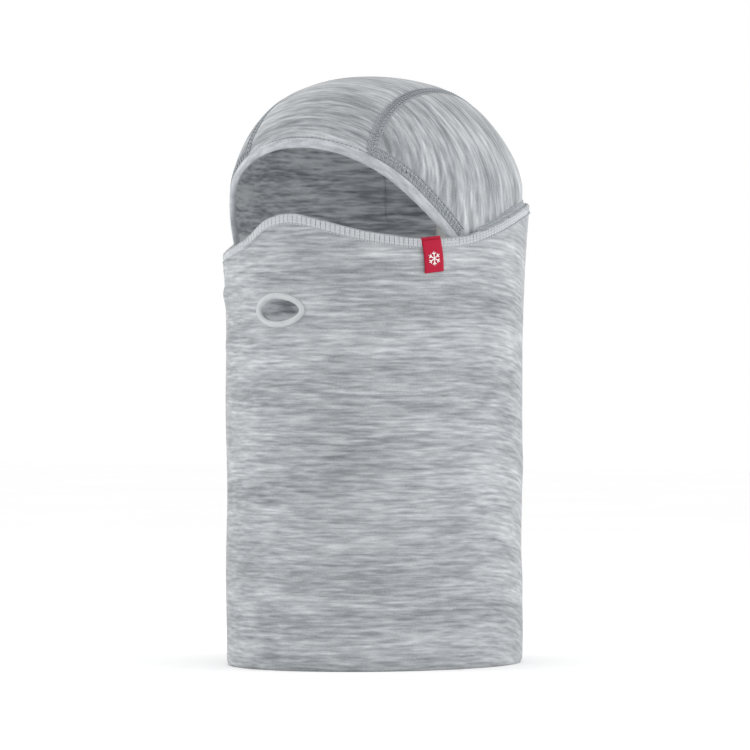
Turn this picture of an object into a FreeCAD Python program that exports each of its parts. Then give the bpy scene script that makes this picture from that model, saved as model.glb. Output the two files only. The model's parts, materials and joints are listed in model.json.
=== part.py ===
import FreeCAD, Part
import os
import Sketcher
from math import asin, atan2, cos, hypot, radians, sin

# A hinged balaclava: a three-panel hood sewn inside the top edge of a knitted neck tube.
# Frame: +Z up, the wearer looks along -Y, the wearer's left is +X. The origin is on the
# ground under the middle of the object. Sizes are in millimetres.

doc = FreeCAD.newDocument("balaclava")
X_AXIS = FreeCAD.Vector(1, 0, 0)
Z_AXIS = FreeCAD.Vector(0, 0, 1)

DIMENSIONS = [
    # fabric and thread
    ("fabric", 1.5, "thickness of the brushed knit"),
    ("layer_gap", 0.05, "air between two layers that lie on each other"),
    ("thread", 0.5, "height of a row of stitching above the fabric"),
    ("binding", 0.9, "thickness of the brow band and of the hole's rim"),
    ("seam_gap", 0.05, "half the gap where two hood panels meet"),
    # tube
    ("tube_half_width", 88.0, "half the tube's width, outside"),
    ("tube_half_depth", 105.5, "half the tube's depth, outside"),
    ("flare_start", 200.0, "height where the tube starts to widen"),
    ("flare_middle", 245.0, "height of the middle of the flare"),
    ("flare_middle_grow", 2.2, "how much the half width has grown there"),
    ("flare_top", 294.0, "height above the highest edge of the tube"),
    ("flare_top_grow", 5.3, "how much the half width has grown there"),
    # the tube's upper edge, seen from the side
    ("nose_y", -118.0, "front end of the edge's outline"),
    ("nose_z", 284.5, "its height"),
    ("low_y", -58.0, "lowest place of the edge, by the corner of the face opening"),
    ("low_z", 262.3, "its height"),
    ("middle_y", -8.0, "where the edge turns from hollow to round"),
    ("middle_z", 273.3, "its height"),
    ("nape_y", 122.0, "back end of the edge's outline"),
    ("nape_z", 290.5, "its height"),
    ("nose_radius", 92.0, "radius of the dip from the nose to the corner"),
    ("rise_radius", 150.0, "radius where the edge starts to rise"),
    ("nape_radius", 425.0, "radius of the long stretch to the nape"),
    ("cutter_z", 420.0, "top of the cutters, above everything"),
    ("cutter_width", 260.0, "width of the cutters, wider than everything"),
    # hood
    ("hood_half_width", 86.5, "half the hood's width"),
    ("hood_half_depth", 103.0, "half the hood's depth"),
    ("hood_shift", 3.0, "how far the hood's axis lies behind the tube's"),
    ("dome_base", 300.0, "height where the dome starts"),
    ("dome_rise", 70.0, "height of the dome"),
    ("hood_foot", 240.0, "foot of the hood's straight part, before it is trimmed"),
    ("hood_tuck", 9.0, "how far the hood reaches down inside the tube"),
    ("crown_half_width", 46.0, "half the width of the crown strip"),
    ("brow_y", -45.0, "corner of the face opening"),
    ("brow_z", 269.0, "its height"),
    ("brow_slope", 46.5, "slope of the face opening, in degrees"),
    ("brow_band", 5.5, "width of the brow band"),
    ("brow_stitch_start", 6.2, "lower edge of the brow stitching, from the opening"),
    ("brow_stitch_end", 10.0, "upper edge of the brow stitching"),
    ("crown_seam_start", 10.4, "where the crown seams start, from the opening"),
    ("seam_width", 6.5, "width of a flatlock seam"),
    # mask
    ("mask_half_width", 70.0, "half the width of the part that hinges"),
    ("mask_foot", 200.0, "lower edge of the part that hinges"),
    ("mask_back", -20.0, "behind the mask's ends"),
    ("mask_side_gap", 0.6, "gap at the mask's sides"),
    ("mask_foot_gap", 4.5, "gap under the mask, so that it can swing inwards"),
    ("hem_height", 9.5, "height of the turned-in hem"),
    ("hem_inset", 0.6, "how far the turned-in hem stays below the edge"),
    ("mask_stitch_top", 1.4, "top of the mask's coverstitch, below the edge"),
    ("mask_stitch_foot", 6.6, "its foot"),
    ("collar_stitch_top", 4.4, "top of the lower seam row, below the edge"),
    ("collar_stitch_foot", 6.2, "its foot"),
    ("hood_stitch_foot", 0.5, "foot of the upper seam row, above the edge"),
    ("hood_stitch_top", 2.5, "its top"),
    # breathing hole
    ("hole_z", 221.0, "height of the breathing hole"),
    ("hole_half_width", 14.25, "half its width"),
    ("hole_half_height", 7.0, "half its height"),
    ("rim_half_width", 18.0, "half the rim's width"),
    ("rim_half_height", 10.5, "half the rim's height"),
    # foot of the tube and its back seam
    ("hem_turn_foot", 1.0, "foot of the turned-up hem"),
    ("hem_turn_top", 16.0, "top of the turned-up hem"),
    ("back_seam_foot", 0.6, "foot of the back seam"),
    ("back_seam_top", 281.0, "top of the back seam"),
    # tab
    ("tab_x", 78.1, "the tab's place on the tube"),
    ("tab_y", -56.3, "the tab's place on the tube"),
    ("tab_turn", -27.0, "direction that the tab faces, from +X, in degrees"),
    ("tab_width", 13.5, "width of the ribbon"),
    ("tab_thickness", 0.8, "thickness of the ribbon"),
    ("tab_foot", 242.5, "lower end of the hanging leaf"),
    ("tab_top", 264.0, "upper end of the hanging leaf"),
    ("tab_clear", 1.0, "how far the leaf stands off the tube"),
    ("tab_reach", 5.0, "how far inside the tube the ribbon's inner end lies"),
    ("tab_inner_foot", 251.5, "lower end of the ribbon's inner end"),
    ("tab_fold_foot", 264.4, "underside of the fold over the edge"),
    ("motif_size", 8.0, "size of the woven snowflake"),
    ("motif_arm", 0.9, "width of one of its arms"),
    ("motif_height", 0.25, "how far it stands off the ribbon"),
    ("motif_z", 252.5, "its height on the leaf"),
    # small pieces
    ("tack_x", 82.3, "corner bar tack, on the tube"),
    ("tack_y", -47.0, "corner bar tack, on the tube"),
    ("tack_turn", 22.0, "direction that the bar tack faces, in degrees"),
    ("tack_z", 258.0, "foot of the bar tack"),
    ("tack_width", 7.0, "length of the bar tack"),
    ("tack_height", 2.4, "height of the bar tack"),
    ("tack_depth", 0.9, "thickness of the bar tack"),
    ("tack_clear", 0.6, "how far it stands off the tube"),
    ("label_y", 102.2, "front face of the care label"),
    ("label_width", 30.0, "width of the care label"),
    ("label_height", 24.0, "height of the care label"),
    ("label_depth", 0.6, "thickness of the care label, folded double"),
    ("label_z", 260.0, "foot of the care label"),
]

sheet = doc.addObject("Spreadsheet::Sheet", "dims")
for row, (alias, value, note) in enumerate(DIMENSIONS, start=1):
    sheet.set(f"A{row}", note)
    sheet.set(f"B{row}", str(value))
    sheet.setAlias(f"B{row}", alias)
doc.recompute()
size = {alias: value for alias, value, note in DIMENSIONS}


def bind(thing, **expressions):
    """Ties properties to cells of the sheet; Placement__Base__z stands for Placement.Base.z."""
    for name, expression in expressions.items():
        thing.setExpression(name.replace("__", "."), expression)
    return thing


def common(name, *shapes):
    made = doc.addObject("Part::MultiCommon", name)
    made.Shapes = list(shapes)
    return made


def fuse(name, *shapes):
    made = doc.addObject("Part::MultiFuse", name)
    made.Shapes = list(shapes)
    return made


def cut(name, base, *tools):
    """Takes each tool away in turn."""
    for number, tool in enumerate(tools, start=1):
        made = doc.addObject("Part::Cut", name if number == len(tools) else f"{name}_cut{number}")
        made.Base = base
        made.Tool = tool
        base = made
    return base


# ---- outer forms ---------------------------------------------------------------------

def tube_form(name, offset):
    """The solid tube, its surface moved outwards by an offset."""
    rings = [
        ("0", "0"),
        ("dims.flare_start", "0"),
        ("dims.flare_middle", "dims.flare_middle_grow"),
        ("dims.flare_top", "dims.flare_top_grow"),
    ]
    sections = []
    for number, (height, grow) in enumerate(rings, start=1):
        ring = doc.addObject("Part::Ellipse", f"{name}_ring{number}")
        ring.Placement = FreeCAD.Placement(FreeCAD.Vector(), FreeCAD.Rotation(Z_AXIS, 90))
        bind(
            ring,
            MajorRadius=f"dims.tube_half_depth + {grow} + {offset}",
            MinorRadius=f"dims.tube_half_width + {grow} + {offset}",
            Placement__Base__z=height,
        )
        sections.append(ring)
    form = doc.addObject("Part::Loft", name)
    form.Sections = sections
    form.Solid = True
    form.Ruled = True
    return form


def tube_layer(name, outside, inside):
    """A skin that follows the tube between two offsets."""
    return cut(name, tube_form(f"{name}_out", outside), tube_form(f"{name}_in", inside))


def hood_form(name, offset):
    """The solid hood: a half ellipsoid on an elliptical prism."""
    dome = doc.addObject("Part::Ellipsoid", f"{name}_dome")
    dome.Angle1 = 0
    dome.Angle2 = 90
    bind(
        dome,
        Radius1=f"dims.dome_rise + {offset}",
        Radius2=f"dims.hood_half_width + {offset}",
        Radius3=f"dims.hood_half_depth + {offset}",
        Placement__Base__y="dims.hood_shift",
        Placement__Base__z="dims.dome_base",
    )
    ring = doc.addObject("Part::Ellipse", f"{name}_ring")
    ring.Placement = FreeCAD.Placement(FreeCAD.Vector(), FreeCAD.Rotation(Z_AXIS, 90))
    bind(
        ring,
        MajorRadius=f"dims.hood_half_depth + {offset}",
        MinorRadius=f"dims.hood_half_width + {offset}",
        Placement__Base__y="dims.hood_shift",
        Placement__Base__z="dims.hood_foot",
    )
    wall = doc.addObject("Part::Extrusion", f"{name}_wall")
    wall.Base = ring
    wall.DirMode = "Custom"
    wall.Dir = Z_AXIS
    wall.Solid = True
    bind(wall, LengthFwd="dims.dome_base - dims.hood_foot")
    return fuse(name, wall, dome)


def hood_layer(name, outside, inside):
    return cut(name, hood_form(f"{name}_out", outside), hood_form(f"{name}_in", inside))


# ---- cutters -------------------------------------------------------------------------

def edge_arc(start, end, radius, hollow):
    """An arc of the side view, start to end being front to back; a hollow one sags below its chord."""
    chord = hypot(end[0] - start[0], end[1] - start[1])
    to_centre = radius * cos(asin(chord / 2 / radius)) * (1 if hollow else -1)
    centre = (
        (start[0] + end[0]) / 2 - to_centre * (end[1] - start[1]) / chord,
        (start[1] + end[1]) / 2 + to_centre * (end[0] - start[0]) / chord,
    )
    first, last = (start, end) if hollow else (end, start)
    circle = Part.Circle(FreeCAD.Vector(*centre, 0), Z_AXIS, radius)
    angles = [atan2(point[1] - centre[1], point[0] - centre[0]) for point in (first, last)]
    return Part.ArcOfCircle(circle, *angles)


def above_edge(name, lift):
    """Everything above the tube's upper edge, moved up by a lift."""
    corners = ["nose", "low", "middle", "nape"]
    arcs = [("nose_radius", True), ("rise_radius", True), ("nape_radius", False)]
    points = [(size[f"{corner}_y"], size[f"{corner}_z"]) for corner in corners]
    sketch = doc.addObject("Sketcher::SketchObject", f"{name}_outline")
    for number, (radius, hollow) in enumerate(arcs):
        sketch.addGeometry(edge_arc(points[number], points[number + 1], size[radius], hollow))
    top_back = FreeCAD.Vector(size["nape_y"], size["cutter_z"], 0)
    top_front = FreeCAD.Vector(size["nose_y"], size["cutter_z"], 0)
    nape = FreeCAD.Vector(*points[3], 0)
    nose = FreeCAD.Vector(*points[0], 0)
    for start, end in [(nape, top_back), (top_back, top_front), (top_front, nose)]:
        sketch.addGeometry(Part.LineSegment(start, end))
    # Sketch arcs run anticlockwise, so a hollow one starts at its front end and a round one at its back.
    ends = [(1, 2) if hollow else (2, 1) for radius, hollow in arcs]
    places = [(number, ends[number][0]) for number in range(3)] + [(2, ends[2][1])]
    for corner, (edge, end) in zip(corners, places):
        for kind, letter in [("DistanceX", "y"), ("DistanceY", "z")]:
            value = size[f"{corner}_{letter}"]
            index = sketch.addConstraint(Sketcher.Constraint(kind, -1, 1, edge, end, value))
            sketch.setExpression(f"Constraints[{index}]", f"dims.{corner}_{letter}")
    for number, (radius, hollow) in enumerate(arcs):
        index = sketch.addConstraint(Sketcher.Constraint("Radius", number, size[radius]))
        sketch.setExpression(f"Constraints[{index}]", f"dims.{radius}")
    joined = [(0, ends[0][1], 1, ends[1][0]), (1, ends[1][1], 2, ends[2][0])]
    joined += [(2, ends[2][1], 3, 1), (3, 2, 4, 1), (4, 2, 5, 1), (5, 2, 0, ends[0][0])]
    for pair in joined:
        sketch.addConstraint(Sketcher.Constraint("Coincident", *pair))
    sketch.addConstraint(Sketcher.Constraint("Vertical", 3))
    sketch.addConstraint(Sketcher.Constraint("Horizontal", 4))
    sketch.addConstraint(Sketcher.Constraint("Vertical", 5))
    index = sketch.addConstraint(
        Sketcher.Constraint("DistanceY", -1, 1, 3, 2, size["cutter_z"])
    )
    sketch.setExpression(f"Constraints[{index}]", "dims.cutter_z")
    # The sketch's own x and y run along +Y and +Z of the object.
    side_view = FreeCAD.Rotation(FreeCAD.Vector(1, 1, 1), 120)
    sketch.Placement = FreeCAD.Placement(FreeCAD.Vector(), side_view)
    bind(sketch, Placement__Base__z=lift)
    solid = doc.addObject("Part::Extrusion", name)
    solid.Base = sketch
    solid.DirMode = "Custom"
    solid.Dir = X_AXIS
    solid.Solid = True
    solid.Symmetric = True
    bind(solid, LengthFwd="dims.cutter_width")
    return solid


def below_brow(name, offset):
    """Everything in front of and below the face opening's plane, moved back by an offset."""
    block = doc.addObject("Part::Box", name)
    block.Placement = FreeCAD.Placement(FreeCAD.Vector(), FreeCAD.Rotation(X_AXIS, -size["brow_slope"]))
    reach = "dims.cutter_width"
    depth = f"({offset} - {reach})"
    bind(
        block,
        Length=reach,
        Width=reach,
        Height=reach,
        Placement__Base__x=f"-{reach} / 2",
        Placement__Base__y=f"dims.brow_y - {reach} / 2 * cos(dims.brow_slope * 1 deg)"
        f" + {depth} * sin(dims.brow_slope * 1 deg)",
        Placement__Base__z=f"dims.brow_z + {reach} / 2 * sin(dims.brow_slope * 1 deg)"
        f" + {depth} * cos(dims.brow_slope * 1 deg)",
    )
    return block


def block(name, x_low, x_high, y_low, y_high, z_low, z_high):
    """A box between planes, each given as an expression."""
    made = doc.addObject("Part::Box", name)
    return bind(
        made,
        Length=f"({x_high}) - ({x_low})",
        Width=f"({y_high}) - ({y_low})",
        Height=f"({z_high}) - ({z_low})",
        Placement__Base__x=x_low,
        Placement__Base__y=y_low,
        Placement__Base__z=z_low,
    )


def turned_block(name, turn, place, near, far, half_width, z_low, z_high):
    """A box on the tube's wall, turned to face outwards, from near to far along that way."""
    made = doc.addObject("Part::Box", name)
    made.Placement = FreeCAD.Placement(FreeCAD.Vector(), FreeCAD.Rotation(Z_AXIS, size["tab_turn"]))
    bind(
        made,
        Length=f"({far}) - ({near})",
        Width=f"2 * ({half_width})",
        Height=f"({z_high}) - ({z_low})",
        Placement__Rotation__Angle=turn,
        Placement__Base__x=f"{place[0]} + ({near}) * cos({turn}) + ({half_width}) * sin({turn})",
        Placement__Base__y=f"{place[1]} + ({near}) * sin({turn}) - ({half_width}) * cos({turn})",
        Placement__Base__z=z_low,
    )
    return made


def front_oval(name, half_width, half_height):
    """An elliptical bar that runs forwards through the mask at the breathing hole."""
    ring = doc.addObject("Part::Ellipse", f"{name}_ring")
    ring.Placement = FreeCAD.Placement(FreeCAD.Vector(), FreeCAD.Rotation(X_AXIS, 90))
    bind(
        ring,
        MajorRadius=half_width,
        MinorRadius=half_height,
        Placement__Base__z="dims.hole_z",
    )
    bar = doc.addObject("Part::Extrusion", name)
    bar.Base = ring
    bar.DirMode = "Custom"
    bar.Dir = FreeCAD.Vector(0, -1, 0)
    bar.Solid = True
    bind(bar, LengthFwd="dims.cutter_width / 2")
    return bar


FAR = "dims.cutter_width / 2"
TOP = "dims.cutter_z"
edge = above_edge("edge", "0")
opening = below_brow("opening", "0")
crown_zone = block(
    "crown_zone",
    "dims.seam_gap - dims.crown_half_width",
    "dims.crown_half_width - dims.seam_gap",
    f"-{FAR}", FAR, "0", TOP,
)
mask_zone = block(
    "mask_zone",
    "-dims.mask_half_width", "dims.mask_half_width",
    f"-{FAR}", "dims.mask_back", "dims.mask_foot", TOP,
)
mask_gap_zone = block(
    "mask_gap_zone",
    "-dims.mask_half_width - dims.mask_side_gap", "dims.mask_half_width + dims.mask_side_gap",
    f"-{FAR}", "dims.mask_back", "dims.mask_foot - dims.mask_foot_gap", TOP,
)
hole = front_oval("hole", "dims.hole_half_width", "dims.hole_half_height")
rim_outline = front_oval("rim_outline", "dims.rim_half_width", "dims.rim_half_height")

# ---- skins that the pieces are cut from -----------------------------------------------

tube_wall = tube_layer("tube_wall", "0", "-dims.fabric")
tube_lining = tube_layer("tube_lining", "-dims.fabric - dims.layer_gap", "-2 * dims.fabric")
tube_thread = tube_layer("tube_thread", "dims.thread", "dims.layer_gap")
tube_trim = tube_layer("tube_trim", "dims.binding", "dims.layer_gap")
hood_wall = hood_layer("hood_wall", "0", "-dims.fabric")
hood_thread = hood_layer("hood_thread", "dims.thread", "dims.layer_gap")
hood_trim = hood_layer("hood_trim", "dims.binding", "dims.layer_gap")

# ---- hood ------------------------------------------------------------------------------

hood_tuck_line = above_edge("hood_tuck_line", "-dims.hood_tuck")
hood_skin = common("hood_skin", cut("hood_open", hood_wall, opening), hood_tuck_line)
common("crown_panel", hood_skin, crown_zone)
for side, low, high in [
    ("left", "dims.crown_half_width + dims.seam_gap", FAR),
    ("right", f"-{FAR}", "-dims.crown_half_width - dims.seam_gap"),
]:
    side_zone = block(f"{side}_side_zone", low, high, f"-{FAR}", FAR, "0", TOP)
    common(f"{side}_side_panel", hood_skin, side_zone)

band_top = below_brow("band_top", "dims.brow_band")
hood_seam_clear = above_edge("hood_seam_clear", "dims.hood_stitch_top + 1")
band_strip = common("band_strip", cut("band_open", hood_trim, opening), band_top)
common("brow_binding", band_strip, hood_seam_clear)

stitch_foot = below_brow("stitch_foot", "dims.brow_stitch_start")
stitch_top = below_brow("stitch_top", "dims.brow_stitch_end")
stitch_strip = common("stitch_strip", cut("stitch_open", hood_thread, stitch_foot), stitch_top)
common("brow_stitching", stitch_strip, hood_seam_clear)

seam_start = below_brow("seam_start", "dims.crown_seam_start")
seam_skin = common("seam_skin", cut("seam_open", hood_thread, seam_start), hood_seam_clear)
for side, sign in [("left", "1"), ("right", "-1")]:
    seam_zone = block(
        f"{side}_seam_zone",
        f"{sign} * dims.crown_half_width - dims.seam_width / 2",
        f"{sign} * dims.crown_half_width + dims.seam_width / 2",
        f"-{FAR}", FAR, "0", TOP,
    )
    common(f"{side}_crown_seam", seam_skin, seam_zone)

# ---- tube ------------------------------------------------------------------------------

tube_skin = cut("tube_skin", tube_wall, edge)
cut("neck_tube", tube_skin, mask_gap_zone)
cut("face_mask_panel", common("mask_skin", tube_skin, mask_zone), hole)

hem_top = above_edge("hem_top", "-dims.hem_inset")
hem_foot = above_edge("hem_foot", "-dims.hem_height")
hem_strip = common("hem_strip", cut("hem_open", tube_lining, hem_top), hem_foot)
cut("collar_hem", hem_strip, mask_gap_zone)
common("mask_hem", hem_strip, mask_zone)

mask_stitch_top = above_edge("mask_stitch_top", "-dims.mask_stitch_top")
mask_stitch_foot = above_edge("mask_stitch_foot", "-dims.mask_stitch_foot")
common("mask_hem_stitching", cut("mask_thread", tube_thread, mask_stitch_top), mask_stitch_foot, mask_zone)

collar_top = above_edge("collar_top", "-dims.collar_stitch_top")
collar_foot = above_edge("collar_foot", "-dims.collar_stitch_foot")
collar_row = common("collar_row", cut("collar_thread", tube_thread, collar_top), collar_foot)
cut("hood_seam_lower_stitching", collar_row, mask_gap_zone)

upper_top = above_edge("upper_top", "dims.hood_stitch_top")
upper_foot = above_edge("upper_foot", "dims.hood_stitch_foot")
upper_row = cut("upper_row", hood_thread, upper_top, band_top)
common("hood_seam_upper_stitching", upper_row, upper_foot)

rim_zone = cut("rim_zone", rim_outline, hole)
common("breathing_hole_rim", tube_trim, rim_zone)
common("breathing_hole_backing", tube_lining, rim_zone)

turn_zone = block("turn_zone", f"-{FAR}", FAR, f"-{FAR}", FAR, "dims.hem_turn_foot", "dims.hem_turn_top")
common("bottom_hem", tube_lining, turn_zone)
back_zone = block(
    "back_zone",
    "-dims.seam_width / 2", "dims.seam_width / 2",
    "0", FAR, "dims.back_seam_foot", "dims.back_seam_top",
)
common("back_seam_stitching", tube_thread, back_zone)

for side, sign, turn in [
    ("left", "1", "-dims.tack_turn * 1 deg"),
    ("right", "-1", "(180 + dims.tack_turn) * 1 deg"),
]:
    turned_block(
        f"{side}_corner_bartack", turn, (f"{sign} * dims.tack_x", "dims.tack_y"),
        "dims.tack_clear", "dims.tack_clear + dims.tack_depth", "dims.tack_width / 2",
        "dims.tack_z", "dims.tack_z + dims.tack_height",
    )
block(
    "care_label",
    "-dims.label_width / 2", "dims.label_width / 2",
    "dims.label_y", "dims.label_y + dims.label_depth",
    "dims.label_z", "dims.label_z + dims.label_height",
)

# ---- tab -------------------------------------------------------------------------------

TAB = ("dims.tab_x", "dims.tab_y")
TURN = "dims.tab_turn * 1 deg"
LEAF_FACE = "dims.tab_clear + dims.tab_thickness"
HALF_TAB = "dims.tab_width / 2"
turned_block("tab_label", TURN, TAB, "dims.tab_clear", LEAF_FACE, HALF_TAB, "dims.tab_foot", "dims.tab_top")
fold = turned_block(
    "tab_fold", TURN, TAB, "-dims.tab_reach", f"{LEAF_FACE} - 0.2", HALF_TAB,
    "dims.tab_fold_foot", "dims.tab_fold_foot + dims.tab_thickness",
)
inner_end = turned_block(
    "tab_inner_end", TURN, TAB, "-dims.tab_reach", "dims.tab_thickness - dims.tab_reach", HALF_TAB,
    "dims.tab_inner_foot", "dims.tab_fold_foot",
)
fuse("tab_anchor", fold, inner_end)

arms = []
face_out = (cos(radians(size["tab_turn"])), sin(radians(size["tab_turn"])))
for number in range(3):
    arm = doc.addObject("Part::Box", f"motif_arm{number + 1}")
    about_face = FreeCAD.Rotation(X_AXIS, 60 * number)
    centred = FreeCAD.Placement(
        FreeCAD.Vector(0, -size["motif_arm"] / 2, -size["motif_size"] / 2), FreeCAD.Rotation()
    )
    stand_off = size["tab_clear"] + size["tab_thickness"] + size["layer_gap"]
    on_leaf = FreeCAD.Placement(
        FreeCAD.Vector(
            size["tab_x"] + stand_off * face_out[0],
            size["tab_y"] + stand_off * face_out[1],
            size["motif_z"],
        ),
        FreeCAD.Rotation(Z_AXIS, size["tab_turn"]),
    )
    arm.Placement = on_leaf * FreeCAD.Placement(FreeCAD.Vector(), about_face) * centred
    bind(arm, Length="dims.motif_height", Width="dims.motif_arm", Height="dims.motif_size")
    arms.append(arm)
fuse("tab_motif", *arms)

# ---- build, check and write ------------------------------------------------------------

NODES = [
    "crown_panel", "left_side_panel", "right_side_panel", "brow_binding", "brow_stitching",
    "left_crown_seam", "right_crown_seam", "neck_tube", "face_mask_panel", "mask_hem",
    "mask_hem_stitching", "breathing_hole_rim", "breathing_hole_backing", "collar_hem",
    "hood_seam_upper_stitching", "hood_seam_lower_stitching", "bottom_hem",
    "back_seam_stitching", "left_corner_bartack", "right_corner_bartack", "care_label",
    "tab_anchor", "tab_label", "tab_motif",
]
doc.recompute()
for thing in doc.Objects:
    if "Invalid" in thing.State or "Error" in thing.State:
        raise RuntimeError(f"{thing.Name} did not build: {thing.State}")
os.makedirs("parts", exist_ok=True)
for name in NODES:
    piece = doc.getObject(name)
    if piece is None or piece.Shape.isNull() or not piece.Shape.isValid():
        raise RuntimeError(f"{name} has no valid shape")
    if not piece.Shape.Solids:
        raise RuntimeError(f"{name} has no solid")
    piece.Label = name
    piece.Shape.exportStep(f"parts/{name}.step")
    box = piece.Shape.BoundBox
    print(
        f"{name}: {len(piece.Shape.Solids)} solid, {piece.Shape.Volume:.0f} mm3,"
        f" x {box.XMin:.1f}..{box.XMax:.1f} y {box.YMin:.1f}..{box.YMax:.1f} z {box.ZMin:.1f}..{box.ZMax:.1f}"
    )
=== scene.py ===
import json
import math
import bmesh
import bpy
import numpy as np
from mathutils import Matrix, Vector


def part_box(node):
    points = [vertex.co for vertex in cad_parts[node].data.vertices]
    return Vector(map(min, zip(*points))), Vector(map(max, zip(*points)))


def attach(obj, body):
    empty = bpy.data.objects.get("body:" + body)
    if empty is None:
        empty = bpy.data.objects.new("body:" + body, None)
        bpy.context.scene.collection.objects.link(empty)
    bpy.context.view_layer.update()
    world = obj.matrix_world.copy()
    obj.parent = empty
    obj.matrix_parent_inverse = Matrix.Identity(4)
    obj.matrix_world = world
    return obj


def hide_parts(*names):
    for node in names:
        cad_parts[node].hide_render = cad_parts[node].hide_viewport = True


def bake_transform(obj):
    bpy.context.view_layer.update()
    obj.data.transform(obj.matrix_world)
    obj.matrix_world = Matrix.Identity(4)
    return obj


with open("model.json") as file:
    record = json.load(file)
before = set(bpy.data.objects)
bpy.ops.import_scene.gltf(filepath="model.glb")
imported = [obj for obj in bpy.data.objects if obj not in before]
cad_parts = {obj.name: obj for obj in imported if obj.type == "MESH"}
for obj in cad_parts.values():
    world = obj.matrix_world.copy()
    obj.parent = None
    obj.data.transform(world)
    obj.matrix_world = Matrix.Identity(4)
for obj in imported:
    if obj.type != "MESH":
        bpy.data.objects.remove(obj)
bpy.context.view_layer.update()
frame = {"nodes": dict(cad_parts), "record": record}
mm = 0.001
rng = np.random.default_rng(11)
print("frame loaded:", len(frame["nodes"]), "nodes")

# Shapes are worked out in millimetres and written to the meshes in metres.
# Angles round the head start at the nose and grow towards the wearer's left.


def boxOf(node):
    low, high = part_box(node)
    return [np.array(tuple(corner)) / mm for corner in (low, high)]


# sRGB hex to the linear colour that the shaders take.
def toLinear(hexColor):
    parts = [int(hexColor[i:i + 2], 16) / 255 for i in (1, 3, 5)]
    return [p / 12.92 if p <= 0.04045 else ((p + 0.055) / 1.055) ** 2.4 for p in parts] + [1.0]


def addNode(tree, kind, values=None, links=None, **settings):
    node = tree.nodes.new("ShaderNode" + kind)
    for name, value in settings.items():
        setattr(node, name, value)
    for socket, value in (values or {}).items():
        node.inputs[socket].default_value = value
    for socket, source in (links or {}).items():
        tree.links.new(source, node.inputs[socket])
    return node


def startMaterial(name):
    material = bpy.data.materials.new(name)
    material.use_nodes = True
    material.node_tree.nodes.clear()
    return material, material.node_tree


# Joins the colour, a relief of depth mm and a roughness between two values into one surface.
def endMaterial(tree, color, height, strength, depth, shine, low, high, sheen):
    bump = addNode(tree, "Bump", {"Strength": strength, "Distance": depth * mm}, {"Height": height})
    rough = addNode(tree, "MapRange", {"To Min": low, "To Max": high}, {"Value": shine})
    values = {"Sheen Weight": sheen, "Sheen Roughness": 0.5, "Sheen Tint": (1, 1, 1, 1),
              "Specular IOR Level": 0.25}
    links = {"Base Color": color, "Normal": bump.outputs[0], "Roughness": rough.outputs[0]}
    shader = addNode(tree, "BsdfPrincipled", values, links)
    addNode(tree, "OutputMaterial", links={"Surface": shader.outputs[0]})


# The cloth's own coordinates, in millimetres along and across the yarn, over a pattern's size.
def clothSpace(tree, along, across):
    place = addNode(tree, "UVMap", uv_map="cloth")
    scale = addNode(tree, "Mapping", {"Scale": (1 / (along * mm), 1 / (across * mm), 1.0)},
                    {"Vector": place.outputs[0]})
    return scale.outputs[0]


# A cloudy noise; a seed gives it a pattern of its own.
def noise(tree, space, detail, seed=None, **values):
    values = {"Scale": 1.0, "Detail": detail, **values}
    if seed is None:
        return addNode(tree, "TexNoise", values, {"Vector": space})
    return addNode(tree, "TexNoise", {**values, "W": seed}, {"Vector": space}, noise_dimensions="4D")


# The first value times a factor, plus the second.
def weigh(tree, first, factor, second):
    return addNode(tree, "Math", {1: factor}, {0: first, 2: second}, operation="MULTIPLY_ADD").outputs[0]


def ramp(tree, source, stops):
    node = addNode(tree, "ValToRGB", links={"Fac": source})
    while len(node.color_ramp.elements) < len(stops):
        node.color_ramp.elements.new(0.5)
    for element, (place, color) in zip(node.color_ramp.elements, stops):
        element.position = place
        element.color = toLinear(color)
    return node.outputs[0]


heather = {
    "dark": "#6f7376", "mid": "#8e9194", "light": "#a2a5a8", "bright": "#bcc0c3",
    "streakLong": 26.0, "streakHigh": 2.1,     # one dyed streak, mm
    "dashLong": 9.0, "dashHigh": 1.5,          # short darker dashes between them, mm
    "patchLong": 95.0, "patchHigh": 13.0,      # where streaks crowd together, mm
    "loop": 1.25,                              # knit loop; a real one is 0.7 mm, too fine to show
}


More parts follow.
